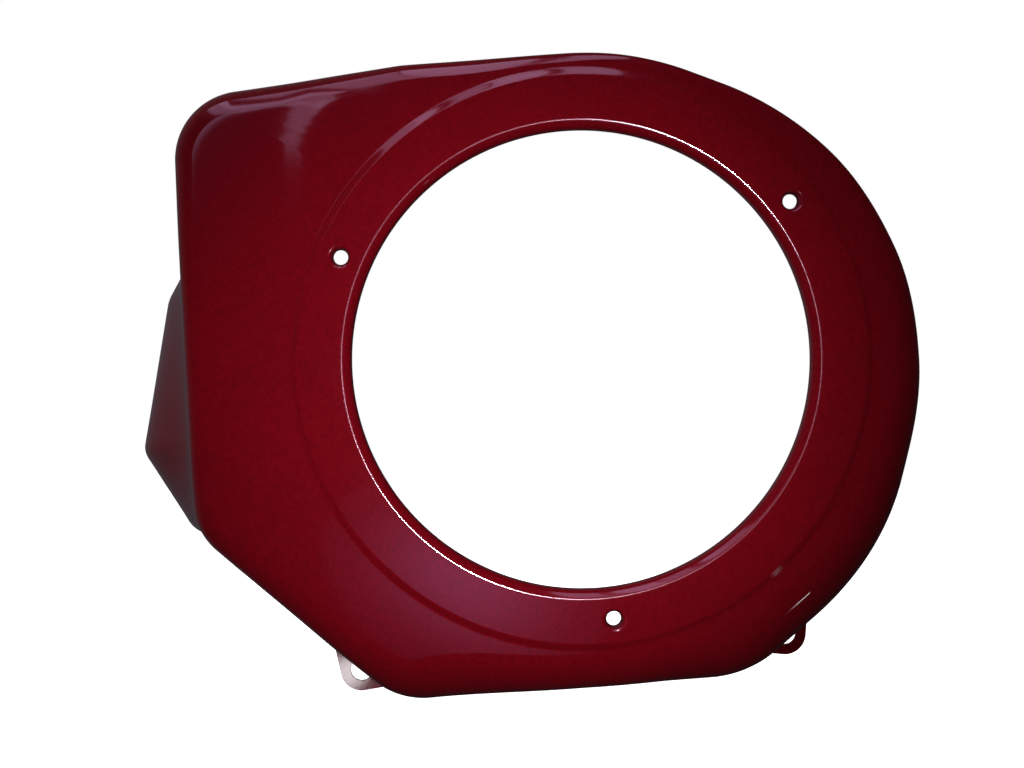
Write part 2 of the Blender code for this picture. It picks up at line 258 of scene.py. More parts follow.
samples = spread_round(path)
widest = max(flare for _, _, flare in samples)
print(len(samples), "points round, flare stands out by", round(widest / MM, 1), "mm")

# %% [markdown]
# ## The skin
#
# A draw in one hit makes a surface that is best told ring by ring: the lip's free edge, its bend,
# the flat of the seat, the S of the step, the face, the quarter round of the shoulder and the
# wall. Each ring has the same number of points, so quads join them and the smooth shading runs
# clean across the bends. That matters on glossy paint, which shows every facet.

# %% Where each form of the pressing lies
FRONT = -DEPTH                      # Y of the seat


def shoulder_radius(point):
    """Radius of the shoulder at an outline point, as far as the flat left beside the seat allows."""
    degrees = math.degrees(polar(point))
    keys = SHOULDER + ((SHOULDER[0][0] + 360, SHOULDER[0][1]),)
    a, b = next((a, b) for a, b in zip(keys, keys[1:]) if degrees <= b[0])
    wanted = a[1] + (b[1] - a[1]) * ease((degrees - a[0]) / (b[0] - a[0]))
    room = point.length - SEAT_OUTER - FACE_LEAST
    return min(wanted, room)


def fold_drop(point):
    """How far the fold sets the face back at a point."""
    begins, full_from, full_to, ends = FOLD_SPAN
    degrees = math.degrees(polar(point))
    fade_in = ease((degrees - begins) / (full_from - begins))
    fade_out = ease((ends - degrees) / (ends - full_to))
    left = max(FOLD_CORNER.x - point.x, 0.0)
    above = max(point.y - FOLD_CORNER.y, 0.0)
    share = (math.hypot(left, above) - FOLD_RADIUS) / FOLD_WIDTH + 0.5
    return FOLD_DROP * ease(share) * fade_in * fade_out


def lip_place(i, turn):
    """Point and Y on the lip's bend, from 0 at its free edge to a quarter turn at the seat."""
    radius = OPENING_RADIUS + LIP_BEND * (1.0 - math.cos(turn))
    return unit(polar(samples[i][0])) * radius, FRONT + LIP_BEND * (1.0 - math.sin(turn))


def step_place(i, share):
    """Point and Y on the S that falls from the seat to the face."""
    point = unit(polar(samples[i][0])) * (SEAT_OUTER - SEAT_STEP * (1.0 - share))
    fall = SEAT_HEIGHT * (1.0 - math.cos(math.pi * share)) / 2.0
    return point, FRONT + fall + fold_drop(point)


def shoulder_place(i, turn):
    """Point and Y on the shoulder, from 0 at the face to a quarter turn at the wall."""
    point, normal, _ = samples[i]
    radius = shoulder_radius(point)
    inner = point - unit(normal) * radius
    fall = SEAT_HEIGHT + radius * (1.0 - math.cos(turn))
    return inner + unit(normal) * radius * math.sin(turn), FRONT + fall + fold_drop(inner)


def wall_place(i, share):
    """Point and Y on the wall, which leans out by its draft and widens into the flare."""
    point, normal, flare = samples[i]
    _, top = shoulder_place(i, QUARTER)
    y = top * (1.0 - share)
    out = (y - top) * math.tan(DRAFT)
    return point + unit(normal) * out + point.normalized() * flare * ease(share), y


def between(place_a, place_b, share):
    """Point and Y on the straight line between two places."""
    (a, y_a), (b, y_b) = place_a, place_b
    return a.lerp(b, share), y_a + (y_b - y_a) * share


def face_place(i, share):
    """Point and Y on the face, between the step's foot and the shoulder."""
    point, _ = between(step_place(i, 1.0), shoulder_place(i, 0.0), share)
    return point, FRONT + SEAT_HEIGHT + fold_drop(point)


largest = max(shoulder_radius(point) for point, _, _ in samples)
print("largest shoulder radius:", round(largest / MM, 1), "mm")

# %% Rings from the lip's free edge to the rear edge
LIP_STEPS = 8
SEAT_STEPS = 3
STEP_STEPS = 12
FACE_STEPS = 18
SHOULDER_STEPS = 14
WALL_STEPS = 14
TRIM_ALLOWANCE = 3.0 * MM           # the wall runs on behind the rear edge, and is trimmed later

ring_makers = [lambda i: (lip_place(i, 0.0)[0], FRONT + LIP_BEND + LIP_STRAIGHT)]
for k in range(LIP_STEPS + 1):
    ring_makers.append(lambda i, k=k: lip_place(i, QUARTER * k / LIP_STEPS))
for k in range(1, SEAT_STEPS):
    ring_makers.append(
        lambda i, k=k: between(lip_place(i, QUARTER), step_place(i, 0.0), k / SEAT_STEPS))
for k in range(STEP_STEPS + 1):
    ring_makers.append(lambda i, k=k: step_place(i, k / STEP_STEPS))
for k in range(1, FACE_STEPS):
    ring_makers.append(lambda i, k=k: face_place(i, k / FACE_STEPS))
for k in range(SHOULDER_STEPS + 1):
    ring_makers.append(lambda i, k=k: shoulder_place(i, QUARTER * k / SHOULDER_STEPS))
for k in range(1, WALL_STEPS + 1):
    ring_makers.append(lambda i, k=k: wall_place(i, k / WALL_STEPS))
ring_makers.append(lambda i: (wall_place(i, 1.0)[0], TRIM_ALLOWANCE))

rings = []
for maker in ring_makers:
    places = [maker(i) for i in range(POINTS_ROUND)]
    rings.append([Vector((p.x, y, p.y)) for p, y in places])
print(len(rings), "rings of", POINTS_ROUND, "points")

# %% [markdown]
# ## From rings to a mesh
#
# bmesh takes the rings and joins neighbours with quads. The same helper makes the turned tools
# that pierce the holes, because a turned shape is rings as well. Those tools are closed, so bmesh
# can tell their outside from their inside by itself.

# %% Mesh helpers
def mesh_object(name, points, faces, closed=True):
    """Object with a new mesh. The faces of a closed one are turned to look outwards."""
    bm = bmesh.new()
    verts = [bm.verts.new(point) for point in points]
    for face in faces:
        bm.faces.new([verts[k] for k in face])
    if closed:
        bmesh.ops.recalc_face_normals(bm, faces=bm.faces)
    mesh = bpy.data.meshes.new(name)
    bm.to_mesh(mesh)
    bm.free()
    thing = bpy.data.objects.new(name, mesh)
    bpy.context.scene.collection.objects.link(thing)
    return thing


def loft(name, rings, closed=True):
    """Quads between rings of equal length. A closed one gets flat ends."""
    count = len(rings[0])
    points = [point for one in rings for point in one]
    faces = []
    for k in range(len(rings) - 1):
        for i in range(count):
            j = (i + 1) % count
            here, there = k * count, (k + 1) * count
            faces.append((here + i, there + i, there + j, here + j))
    if closed:
        faces.append(tuple(range(count)))
        faces.append(tuple(range(len(points) - count, len(points))))
    return mesh_object(name, points, faces, closed)


def turned(name, centre, profile, count):
    """Solid turned about a line along Y through a centre, from (radius, y) pairs."""
    rings = []
    for radius, y in profile:
        places = [centre + unit(FULL_TURN * i / count) * radius for i in range(count)]
        rings.append([Vector((p.x, y, p.y)) for p in places])
    return loft(name, rings)


def joined(name, things):
    """One mesh object from several that don't touch."""
    bm = bmesh.new()
    for thing in things:
        bm.from_mesh(thing.data)
        bpy.data.objects.remove(thing)
    mesh = bpy.data.meshes.new(name)
    bm.to_mesh(mesh)
    bm.free()
    whole = bpy.data.objects.new(name, mesh)
    bpy.context.scene.collection.objects.link(whole)
    return whole


cover = loft("cover_skin", rings, closed=False)
print("skin:", len(cover.data.polygons), "quads")

# %% [markdown]
# ## Ears
#
# The ears bend out of the wall at the rear edge and lie flat against the engine. Each is drawn
# from the wall outwards: the bend is a quarter round along the wall, and the flat is one face
# inside the ear's rim. They are made a little too deep behind, because one cut later trims wall
# and ears to the same plane, as the trimming die does.

# %% Sizes of the ears
# Direction in degrees, distance from the wall to the hole, radius of the end, half span in degrees
EARS = (
    (236.0, 11.9 * MM, 8.2 * MM, 10.8),
    (307.8, 10.6 * MM, 8.2 * MM, 9.0),
    (30.0, 10.1 * MM, 7.2 * MM, 7.5),
    (147.5, 9.4 * MM, 7.4 * MM, 7.0),
)
EAR_HOLE = 4.25 * MM                # radius of the hole
EAR_FILLET = 2.5 * MM               # radius of the bend out of the wall
EAR_FOOT = 0.6 * MM                 # flat between the bend and the ear's rim
EAR_STATIONS = 33                   # points along the ear, from foot to foot
STRAIGHT_STATIONS = 4               # of these, the ones on the two straight sides
FILLET_STEPS = 8
SINK = 0.15 * MM                    # a joined piece starts this far under the surface
OVERLAP = 1.0 * MM                  # a cutting tool reaches this far beyond what it cuts


def rear_wall(angle):
    """Point and outward normal of the wall's outer side at the rear edge, in one direction."""
    edge = [Vector((p.x, p.z)) for p in rings[-2]]
    angles = [polar(p) for p in edge]
    for i, here in enumerate(angles):
        j = (i + 1) % len(edge)
        width = (angles[j] - here) % FULL_TURN
        ahead = (angle - here) % FULL_TURN
        if ahead <= width:
            along = (edge[j] - edge[i]).normalized()
            return edge[i].lerp(edge[j], ahead / width), Vector((along.y, -along.x))
    raise ValueError("no wall in that direction")


for direction, _, _, _ in EARS:
    wall, _ = rear_wall(math.radians(direction))
    print("wall at", direction, "degrees:", round(wall.length / MM, 1), "mm from the axis")

# %% [markdown]
# The rim of an ear runs from one foot on the wall to its round end and back to the other foot, and
# the two straight sides touch the round end. The bend is a row of lines beside the wall, each a
# little further out and further back. With the same number of points in every line, quads join
# them. The flat and the two sides are single faces.

# %% The four ears and the tools for their holes
HOLE_POINTS = 48


def ear_edge(hole, radius, foot_a, foot_b):
    """Outline of an ear from foot to foot, one point to a station."""
    def touch(foot, side):
        away = foot - hole
        lean = math.acos(min(radius / away.length, 1.0))
        return math.atan2(away.y, away.x) + side * lean

    first, last = touch(foot_a, 1.0), touch(foot_b, -1.0)
    last = first + (last - first) % FULL_TURN
    steps = EAR_STATIONS - STRAIGHT_STATIONS - 1
    arc = [hole + unit(first + (last - first) * k / steps) * radius for k in range(steps + 1)]
    return [foot_a, foot_a.lerp(arc[0], 0.5)] + arc + [arc[-1].lerp(foot_b, 0.5), foot_b]


def ear(name, place):
    """Solid of one ear, without its hole, and the place of the hole."""
    direction, stand_off, radius, half_span = place
    wall, normal = rear_wall(math.radians(direction))
    hole = wall + normal * stand_off
    rear = TRIM_ALLOWANCE / 2.0
    walls = []
    for k in range(EAR_STATIONS):
        turn = half_span * (2.0 * k / (EAR_STATIONS - 1) - 1.0)
        walls.append(rear_wall(math.radians(direction + turn)))
    reach = EAR_FILLET + EAR_FOOT
    edge = ear_edge(hole, radius, *[p + n * reach for p, n in (walls[0], walls[-1])])
    # Lines of points from foot to foot: two inside the sheet, those of the bend, two at the rim
    roots = [p - n * SHEET / 2.0 for p, n in walls]
    lines = [[(root, rear) for root in roots], [(root, -SHEET - EAR_FILLET) for root in roots]]
    for k in range(FILLET_STEPS + 1):
        turn = QUARTER * k / FILLET_STEPS
        out = EAR_FILLET * (1.0 - math.cos(turn)) - (SINK if k == 0 else 0.0)
        y = -SHEET - EAR_FILLET * (1.0 - math.sin(turn))
        lines.append([(p + n * out, y) for p, n in walls])
    lines += [[(rim, -SHEET) for rim in edge], [(rim, rear) for rim in edge]]
    points = [Vector((p.x, y, p.y)) for line in lines for p, y in line]
    count, last = EAR_STATIONS, len(lines) - 1
    faces = []
    # Quads between all lines but the last of the bend and the rim's first: that is the flat
    for line in (*range(last - 2), last - 1):
        for k in range(line * count, line * count + count - 1):
            faces.append((k, k + 1, k + count + 1, k + count))
    for front, back in ((last - 2, last - 1), (0, last)):
        flat = list(range(front * count, front * count + count))
        faces.append(flat + list(reversed(range(back * count, back * count + count))))
    for station in (0, count - 1):
        faces.append([line * count + station for line in range(last + 1)])
    return mesh_object(name, points, faces), hole


lugs, bores = [], []
for number, place in enumerate(EARS, 1):
    lug, hole = ear(f"ear_{number}", place)
    lugs.append(lug)
    ends = [(EAR_HOLE, -SHEET - OVERLAP), (EAR_HOLE, TRIM_ALLOWANCE)]
    bores.append(turned(f"ear_hole_{number}", hole, ends, HOLE_POINTS))
    print("ear", number, "hole at", [round(v / MM, 1) for v in hole])
ears = joined("ears", lugs)
ear_holes = joined("ear_holes", bores)

# %% [markdown]
# ## Starter holes
#
# Sheet of this thickness is too thin for a thread, so the punch draws a collar inwards before the
# tap cuts it. The mouth runs into the hole with a rounding. In the finer skin the bore is as wide
# as the bottom of the thread, and the ridges are swept into it afterwards.

# %% Collars and the tools for their holes
SCREW_COUNT = 3
SCREW_CIRCLE = OPENING_RADIUS + 10.5 * MM
SCREW_FIRST = math.radians(37.1)
THREAD_ROOT = 2.95 * MM             # radius at the bottom of the thread
SCREW_ROUNDING = 1.5 * MM           # depth of the rounding at the mouth
SCREW_MOUTH = 4.05 * MM             # radius of the mouth
COLLAR_RADIUS = 3.45 * MM
COLLAR_DEPTH = 4.6 * MM             # from the front of the seat

screw_turns = [SCREW_FIRST + FULL_TURN * k / SCREW_COUNT for k in range(SCREW_COUNT)]
screw_places = [unit(turn) * SCREW_CIRCLE for turn in screw_turns]
tubes, cutters = [], []
for number, centre in enumerate(screw_places, 1):
    ends = [(COLLAR_RADIUS, FRONT + SHEET / 2.0), (COLLAR_RADIUS, FRONT + COLLAR_DEPTH)]
    tubes.append(turned(f"tube_{number}", centre, ends, HOLE_POINTS))
    profile = []
    for k in range(1, FILLET_STEPS + 1):
        turn = QUARTER * k / FILLET_STEPS
        radius = THREAD_ROOT + (SCREW_MOUTH - THREAD_ROOT) * (1.0 - math.sin(turn))
        profile.append((radius, FRONT + SCREW_ROUNDING * (1.0 - math.cos(turn))))
    radius, y = profile[0]
    slope = (SCREW_MOUTH - radius) / (y - FRONT)
    profile.insert(0, (SCREW_MOUTH + SINK * slope / 2.0, FRONT - SINK / 2.0))
    profile.append((THREAD_ROOT, FRONT + COLLAR_DEPTH + OVERLAP))
    cutters.append(turned(f"cutter_{number}", centre, profile, HOLE_POINTS))
collars = joined("collars", tubes)
screw_holes = joined("screw_holes", cutters)
print("screw circle", round(2.0 * SCREW_CIRCLE / MM, 1), "mm across")

# %% [markdown]
# ## Sheet thickness, joining and trimming
#
# Solidify gives the skin its thickness on the inside, so the outer size stays. Booleans then do
# what the press does in later strokes: bend out the ears, trim the rear edge, draw the collars and
# pierce the holes. A small bevel rounds the cut edges, where enamel never lies on a sharp corner.

# %% Give the skin its thickness and line up the press strokes
BLOCK_REACH = 0.2                   # half the width of the block that trims the rear edge


def combine(target, tool, operation):
    """Add a Boolean to a target: UNION joins the tool to it, DIFFERENCE cuts the tool out."""
    modifier = target.modifiers.new(tool.name, "BOOLEAN")
    modifier.operation = operation
    modifier.solver = "EXACT"
    modifier.object = tool


thickness = cover.modifiers.new("sheet", "SOLIDIFY")
thickness.thickness = SHEET
thickness.offset = -1.0
thickness.use_even_offset = True
combine(ears, ear_holes, "DIFFERENCE")
combine(cover, ears, "UNION")
square = [(x * BLOCK_REACH, z * BLOCK_REACH) for x, z in ((-1, -1), (1, -1), (1, 1), (-1, 1))]
corners = [Vector((x, y, z)) for y in (0.0, TRIM_ALLOWANCE + OVERLAP) for x, z in square]
sides = [(0, 1, 2, 3), (7, 6, 5, 4), (0, 4, 5, 1), (1, 5, 6, 2), (2, 6, 7, 3), (3, 7, 4, 0)]
trimming_block = mesh_object("trimming_block", corners, sides)
combine(cover, trimming_block, "DIFFERENCE")
combine(cover, collars, "UNION")
combine(cover, screw_holes, "DIFFERENCE")
print("press strokes:", [modifier.name for modifier in cover.modifiers])

# %% [markdown]
# The modifiers are then turned into one mesh, and the tools are thrown away. Smooth shading hides
# the facets of the bends, but beside a bend it also tilts the flats a little, and a mirror shows
# that. Weighted normals let the large faces decide, so the flats stay flat.

# %% Round the cut edges, apply everything and shade it
EDGE_ROUND = 0.25 * MM
EDGE_SEGMENTS = 2
CUT_EDGE = math.radians(50.0)       # only edges sharper than this are rounded
SHARP = math.radians(35.0)          # and edges sharper than this aren't shaded smooth

edge_round = cover.modifiers.new("edges", "BEVEL")
edge_round.width = EDGE_ROUND
edge_round.segments = EDGE_SEGMENTS
edge_round.limit_method = "ANGLE"
edge_round.angle_limit = CUT_EDGE
edge_round.use_clamp_overlap = True

bpy.context.view_layer.update()
depsgraph = bpy.context.evaluated_depsgraph_get()
finished = bpy.data.meshes.new_from_object(cover.evaluated_get(depsgraph))
cover.modifiers.clear()
cover.data = finished
cover.data.name = "cover_skin"
for tool in (ears, ear_holes, trimming_block, collars, screw_holes):
    bpy.data.objects.remove(tool)
cover.data.shade_smooth()
cover.data.set_sharp_from_angle(angle=SHARP)
even = cover.modifiers.new("even_shading", "WEIGHTED_NORMAL")
even.keep_sharp = True

bm = bmesh.new()
bm.from_mesh(cover.data)
open_edges = sum(1 for edge in bm.edges if len(edge.link_faces) != 2)
bm.free()
print("cover:", len(cover.data.polygons), "faces,", open_edges, "open edges")

# %% [markdown]
# ## Threads
#
# A tapped thread is a ridge that climbs one pitch a turn. Sweeping a small blunt wedge along the
# helix shows it for a few hundred faces a hole. Its foot lies inside the collar's wall, so no gap
# can open between them.

# %% Sweep the ridges
THREAD_PITCH = 1.0 * MM
THREAD_CREST = 2.5 * MM             # radius at the top of the ridge
THREAD_FOOT = THREAD_ROOT + 0.1 * MM    # the ridge's foot, inside the collar's wall
FOOT_HALF = 0.42 * THREAD_PITCH     # half the width of the foot
CREST_HALF = 0.06 * THREAD_PITCH    # half the width of the crest
THREAD_FREE = 0.9                   # turns that stay free at the ends
THREAD_SIDES = 40                   # sections to a turn
RUN_OUT = 10                        # sections in which the ridge rises to its height
LEAST_HEIGHT = 0.05                 # share of the height at its very ends


def thread(name, centre):
    """One ridge that climbs through a collar and fades at both ends."""
    turns = (COLLAR_DEPTH - SCREW_ROUNDING) / THREAD_PITCH - THREAD_FREE
    steps = round(turns * THREAD_SIDES)
    sections = []
    for k in range(steps + 1):
        u = unit(FULL_TURN * k / THREAD_SIDES)
        y = FRONT + SCREW_ROUNDING + FOOT_HALF + THREAD_PITCH * k / THREAD_SIDES
        fade = min(1.0, k / RUN_OUT, (steps - k) / RUN_OUT)
        crest = THREAD_FOOT + (THREAD_CREST - THREAD_FOOT) * max(fade, LEAST_HEIGHT)
        section = []
        for radius, rise in ((THREAD_FOOT, -FOOT_HALF), (crest, -CREST_HALF),
                             (crest, CREST_HALF), (THREAD_FOOT, FOOT_HALF)):
            p = centre + u * radius
            section.append(Vector((p.x, y + rise, p.y)))
        sections.append(section)
    return loft(name, sections)


ridges = [thread(f"ridge_{number}", centre) for number, centre in enumerate(screw_places, 1)]
threads = joined("starter_threads", ridges)
threads.data.shade_smooth()
threads.data.set_sharp_from_angle(angle=SHARP)
print("threads:", len(threads.data.polygons), "faces")

# %% [markdown]
# ## Sprayed enamel as a node group
#
# The paint is a hard gloss over deep red. Seen close up it is never even: the coat has the faint
# dimples that painters call orange peel, the red is a touch deeper where more of it lies, and a
# few grains of dust are caught in it. Several materials use this effect, so it is a node group
# with named inputs. It gives a colour, a roughness and a height, and the shader stays outside.

# %% Build the group
def spray_group():
    """The empty group with its named inputs and outputs."""
    group = bpy.data.node_groups.new("sprayed_enamel", "ShaderNodeTree")
    face = group.interface
    for name, kind in (("Place", "NodeSocketVector"), ("Paint", "NodeSocketColor"),
                       ("Deep Paint", "NodeSocketColor"), ("Dust Colour", "NodeSocketColor"),
                       ("Cloud Scale", "NodeSocketFloat"), ("Grain Scale", "NodeSocketFloat"),
                       ("Grain Depth", "NodeSocketFloat"), ("Dust Scale", "NodeSocketFloat"),
                       ("Dust Size", "NodeSocketFloat"), ("Smoothest", "NodeSocketFloat"),
                       ("Roughest", "NodeSocketFloat")):
        face.new_socket(name, in_out="INPUT", socket_type=kind)
    for name, kind in (("Colour", "NodeSocketColor"), ("Roughness", "NodeSocketFloat"),
                       ("Height", "NodeSocketFloat")):
        face.new_socket(name, in_out="OUTPUT", socket_type=kind)
    return group


def node(tree, kind, **values):
    """A node with its properties set by name."""
    made = tree.nodes.new(kind)
    for key, value in values.items():
        setattr(made, key, value)
    return made


def feed(tree, socket, value):
    """Set a socket to a plain value, or link another node's output to it."""
    if isinstance(value, (int, float, tuple)):
        socket.default_value = value
    else:
        tree.links.new(value, socket)


def texture(tree, kind, place, scale):
    """Noise or Voronoi texture at a place, with its scale."""
    made = node(tree, kind)
    feed(tree, made.inputs["Vector"], place)
    feed(tree, made.inputs["Scale"], scale)
    return made


def ramp(tree, value, low, high, to_low=0.0, to_high=1.0):
    """Map Range: value from low..high to to_low..to_high, held inside those limits."""
    made = node(tree, "ShaderNodeMapRange", clamp=True)
    limits = {"From Min": low, "From Max": high, "To Min": to_low, "To Max": to_high}
    for key, limit in limits.items():
        feed(tree, made.inputs[key], limit)
    feed(tree, made.inputs["Value"], value)
    return made.outputs["Result"]


def maths(tree, operation, a, b):
    """Result of one sum with two values or outputs."""
    made = node(tree, "ShaderNodeMath", operation=operation)
    feed(tree, made.inputs[0], a)
    feed(tree, made.inputs[1], b)
    return made.outputs["Value"]


def mixed(tree, factor, a, b):
    """Colour between a and b. A Mix node has sockets for every kind of value, so they are
    picked by number: 0 is the factor, and 6, 7 and output 2 are the colours."""
    made = node(tree, "ShaderNodeMix", data_type="RGBA")
    feed(tree, made.inputs[0], factor)
    feed(tree, made.inputs[6], a)
    feed(tree, made.inputs[7], b)
    return made.outputs[2]


spray = spray_group()
print("group", spray.name, "with", len(spray.interface.items_tree), "sockets")

# %% [markdown]
# Inside the group, one slow noise gives the clouds of deeper paint and one fine noise gives the
# grain. Dust comes from Voronoi cells: a grain sits in the middle of a cell, and a random value for
# each cell decides whether it has one, so the grains are few and unevenly spread.

# %% Wire the group
CLOUD_RANGE = (0.35, 0.70)          # part of the slow noise that shows
CLOUD_DEPTH = 0.15                  # how far the clouds go towards the deep paint
FLECK_RANGE = (0.34, 0.66)          # part of the fine noise that shows
FLECK_DEPTH = 0.6
GLOSS_RANGE = (0.30, 0.70)          # part of the slow noise that the roughness follows
SPECKLED_CELLS = 0.22               # share of the cells that holds a grain of dust


def wire_spray(group):
    """Fill the group: clouds and grain from noise, dust from Voronoi cells."""
    given = node(group, "NodeGroupInput").outputs
    result = node(group, "NodeGroupOutput").inputs
    clouds = texture(group, "ShaderNodeTexNoise", given["Place"], given["Cloud Scale"])
    clouds.inputs["Detail"].default_value = 3.0
    grain = texture(group, "ShaderNodeTexNoise", given["Place"], given["Grain Scale"])
    grain.inputs["Detail"].default_value = 2.0
    grain.inputs["Roughness"].default_value = 0.6
    cells = texture(group, "ShaderNodeTexVoronoi", given["Place"], given["Dust Scale"])
    chosen = node(group, "ShaderNodeSeparateColor")
    feed(group, chosen.inputs["Color"], cells.outputs["Color"])
    has_grain = maths(group, "LESS_THAN", chosen.outputs["Red"], SPECKLED_CELLS)
    near = ramp(group, cells.outputs["Distance"], 0.0, given["Dust Size"], 1.0, 0.0)
    dust = maths(group, "MULTIPLY", near, has_grain)
    cloud = ramp(group, clouds.outputs["Fac"], *CLOUD_RANGE, 0.0, CLOUD_DEPTH)
    fleck = ramp(group, grain.outputs["Fac"], *FLECK_RANGE, 0.0, FLECK_DEPTH)
    depth = maths(group, "ADD", cloud, fleck)
    paint = mixed(group, depth, given["Paint"], given["Deep Paint"])
    feed(group, result["Colour"], mixed(group, dust, paint, given["Dust Colour"]))
    smoothness = (given["Smoothest"], given["Roughest"])
    feed(group, result["Roughness"], ramp(group, clouds.outputs["Fac"], *GLOSS_RANGE, *smoothness))
    peel = maths(group, "MULTIPLY", grain.outputs["Fac"], given["Grain Depth"])
    feed(group, result["Height"], maths(group, "ADD", peel, dust))


wire_spray(spray)
print("group has", len(spray.nodes), "nodes")

# %% [markdown]
# ## Red enamel
#
# The shader is one Principled BSDF: a red base that hardly shines by itself, and over it a clear
# coat that gives the crisp reflections. The base colour is what the paint shows in even light. The
# object's own coordinates are in metres, so a noise scale of 900 makes grains of about a millimetre.

# %% Red enamel for the pressing
RED = (0.200, 0.0022, 0.0078, 1.0)
DEEP_RED = (0.125, 0.0013, 0.0046, 1.0)
DUST = (0.62, 0.40, 0.42, 1.0)
BASE_SHINE = 0.12                   # the base hardly shines, since the coat does
BASE_TINT = (1.0, 0.30, 0.60, 1.0)


def enamel(name, values, coat, coat_roughness, bump_strength, bump_distance):
    """Material with the sprayed group behind a Principled BSDF."""
    material = bpy.data.materials.new(name)
    material.use_nodes = True
    tree = material.node_tree
    shader = tree.nodes["Principled BSDF"]
    sprayed = node(tree, "ShaderNodeGroup", node_tree=spray)
    feed(tree, sprayed.inputs["Place"], node(tree, "ShaderNodeTexCoord").outputs["Object"])
    for key, value in values.items():
        sprayed.inputs[key].default_value = value
    bump = node(tree, "ShaderNodeBump")
    bump.inputs["Strength"].default_value = bump_strength
    bump.inputs["Distance"].default_value = bump_distance
    feed(tree, bump.inputs["Height"], sprayed.outputs["Height"])
    feed(tree, shader.inputs["Base Color"], sprayed.outputs["Colour"])
    feed(tree, shader.inputs["Roughness"], sprayed.outputs["Roughness"])
    feed(tree, shader.inputs["Normal"], bump.outputs["Normal"])
    feed(tree, shader.inputs["Coat Normal"], bump.outputs["Normal"])
    shader.inputs["Coat Weight"].default_value = coat
    shader.inputs["Coat Roughness"].default_value = coat_roughness
    shader.inputs["Specular IOR Level"].default_value = BASE_SHINE
    shader.inputs["Specular Tint"].default_value = BASE_TINT
    material.diffuse_color = RED
    return material


red_enamel = enamel("red_enamel", {
    "Paint": RED, "Deep Paint": DEEP_RED, "Dust Colour": DUST,
    "Cloud Scale": 38.0, "Grain Scale": 900.0, "Grain Depth": 0.35,
    "Dust Scale": 75.0, "Dust Size": 0.02, "Smoothest": 0.13, "Roughest": 0.18,
}, coat=1.0, coat_roughness=0.08, bump_strength=0.12, bump_distance=0.1 * MM)
cover.data.materials.clear()
cover.data.materials.append(red_enamel)
print("cover wears", red_enamel.name)

# %% [markdown]
# ## Thread finish
#
# The collars are tapped before the spraying, so little paint gets down between the ridges. There
# the film is thin, dark and duller. It is the same group with other values.

# %% Thin enamel in the threads
THIN_RED = (0.075, 0.004, 0.006, 1.0)
BARE_BROWN = (0.030, 0.010, 0.010, 1.0)

thread_enamel = enamel("thread_enamel", {
    "Paint": THIN_RED, "Deep Paint": BARE_BROWN, "Dust Colour": DUST,
    "Cloud Scale": 260.0, "Grain Scale": 1800.0, "Grain Depth": 0.6,
    "Dust Scale": 300.0, "Dust Size": 0.03, "Smoothest": 0.38, "Roughest": 0.6,
}, coat=0.3, coat_roughness=0.25, bump_strength=0.3, bump_distance=0.05 * MM)
threads.data.materials.clear()
threads.data.materials.append(thread_enamel)
print("threads wear", thread_enamel.name)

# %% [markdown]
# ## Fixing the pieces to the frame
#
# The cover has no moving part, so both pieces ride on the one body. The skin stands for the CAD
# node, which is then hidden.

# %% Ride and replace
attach(cover, "root")
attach(threads, "root")
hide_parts("fan_cover")

# %% [markdown]
# ## Studio
#
# The photo has a white background, a narrow lamp beside the lens with a soft glow under it, rows of
# pale daylight panels above and to the left, two small lamps low down, and otherwise darkness.
# Glossy paint mirrors all of this, so each light stands where its reflection asks for it. The
# floor lies well under the part, which is held by its mount. It glows a little for the camera,
# and from some way off fully, so it reads as white and still takes the shadow.

# %% Floor
FLOOR_Z = -0.30
FLOOR_REACH = 3.0
FLOOR_GLOW = 0.45                   # glow near the part, where the shadow falls
FLOOR_NEAR = 0.32                   # the glow begins to rise at this distance from the axis
FLOOR_FAR = 0.46                    # from here outwards the floor is plain white
FLOOR_COLOUR = (0.82, 0.82, 0.83, 1.0)
WHITE = (1.0, 1.0, 1.0, 1.0)


def stage_floor():
    """Pale floor that glows for the camera and takes the part's shadow."""
    reach = FLOOR_REACH
    square = ((-reach, -reach), (reach, -reach), (reach, reach), (-reach, reach))
    corners = [Vector((x, y, FLOOR_Z)) for x, y in square]
    floor = mesh_object("floor", corners, [(0, 1, 2, 3)], closed=False)
    material = bpy.data.materials.new("pale_floor")
    material.use_nodes = True
    tree = material.node_tree
    shader = tree.nodes["Principled BSDF"]
    shader.inputs["Base Color"].default_value = FLOOR_COLOUR
    shader.inputs["Roughness"].default_value = 0.9
    shader.inputs["Specular IOR Level"].default_value = 0.1
    shader.inputs["Emission Color"].default_value = WHITE
    level = node(tree, "ShaderNodeVectorMath", operation="MULTIPLY")
    level.inputs[1].default_value = (1.0, 1.0, 0.0)     # drops the height
    feed(tree, level.inputs[0], node(tree, "ShaderNodeTexCoord").outputs["Object"])
    distance = node(tree, "ShaderNodeVectorMath", operation="LENGTH")
    feed(tree, distance.inputs[0], level.outputs["Vector"])
    glow = ramp(tree, distance.outputs["Value"], FLOOR_NEAR, FLOOR_FAR, FLOOR_GLOW, 1.0)
    path = node(tree, "ShaderNodeLightPath")
    seen = maths(tree, "MULTIPLY", path.outputs["Is Camera Ray"], glow)
    feed(tree, shader.inputs["Emission Strength"], seen)
    floor.data.materials.append(material)
    floor.visible_glossy = False        # a shadowed floor would make the rear rims look grey
    floor.visible_diffuse = False       # its bounce would lift the dark underside
    return floor


floor = stage_floor()
print("floor at", FLOOR_Z, "m")

